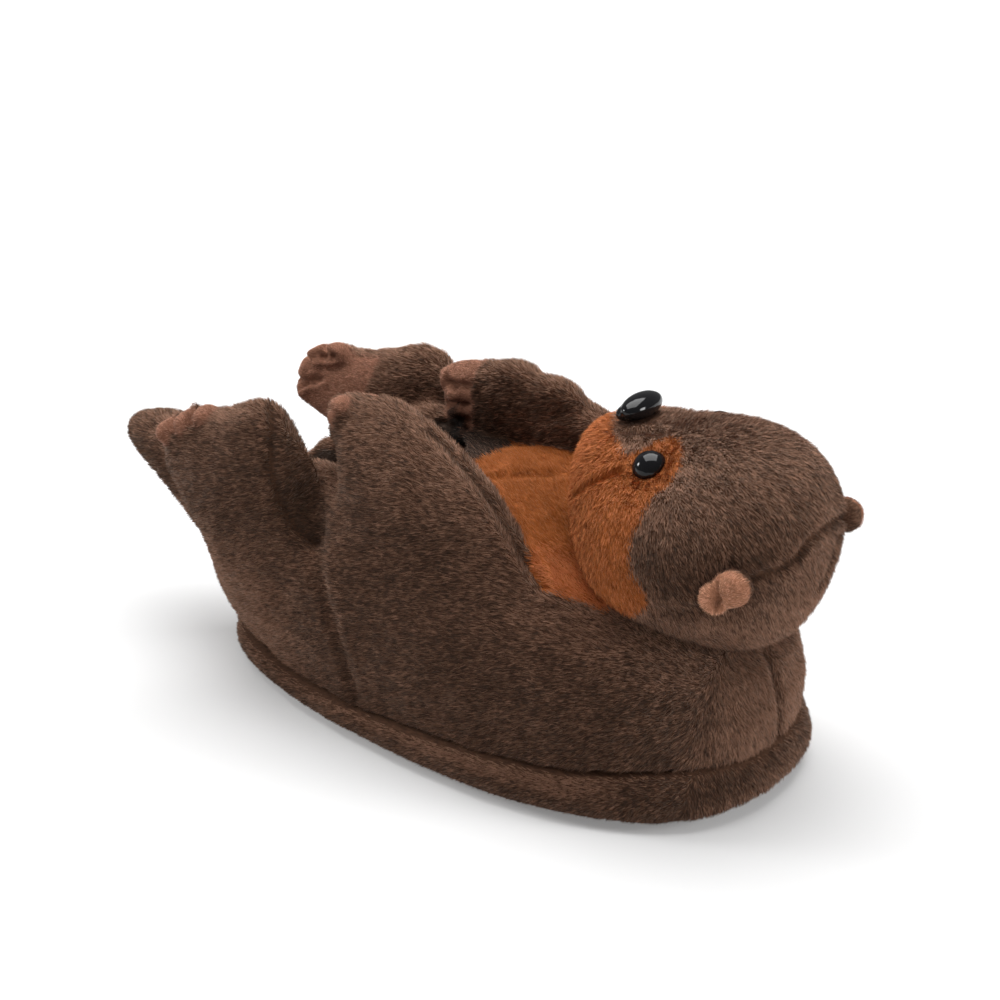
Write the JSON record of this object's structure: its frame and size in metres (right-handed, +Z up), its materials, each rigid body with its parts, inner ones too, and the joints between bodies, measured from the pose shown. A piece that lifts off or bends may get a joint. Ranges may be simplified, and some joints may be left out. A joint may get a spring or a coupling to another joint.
{
  "type": "plush animal slipper",
  "caption": "Plush slipper shaped like a sea otter lying on its back, with a stuffed head on the toe, arms and legs round the foot opening and a tail at the heel.",
  "frame": {"origin": "on the floor plane, on the outsole's flat bottom at the middle of the sole's length and width", "axes": "+X toward the toe, +Z up, -Y the slipper's right side"},
  "size_m": [0.372, 0.147, 0.1609],
  "materials": {
    "brown_plush": "short brushed pile",
    "orange_plush": "short brushed pile",
    "rust_plush": "very short pile",
    "peach_plush": "very short pile",
    "lining_plush": "fleece",
    "grip_cloth": "cloth with rubber dots",
    "black_plastic": "glossy"
  },
  "bodies": {
    "root": {"outsole": "grip_cloth", "platform": "brown_plush", "upper": "brown_plush", "insole": "lining_plush", "belly": "orange_plush", "head": "brown_plush", "ear_right": "peach_plush", "ear_left": "peach_plush", "eye_right": "black_plastic", "eye_left": "black_plastic", "nose": "black_plastic", "arm_right": "brown_plush", "arm_left": "brown_plush", "paw_right": "rust_plush", "paw_left": "rust_plush", "leg_right": "brown_plush", "leg_left": "brown_plush", "foot_right": "rust_plush", "foot_left": "rust_plush", "tail": "brown_plush"}
  },
  "joints": []
}
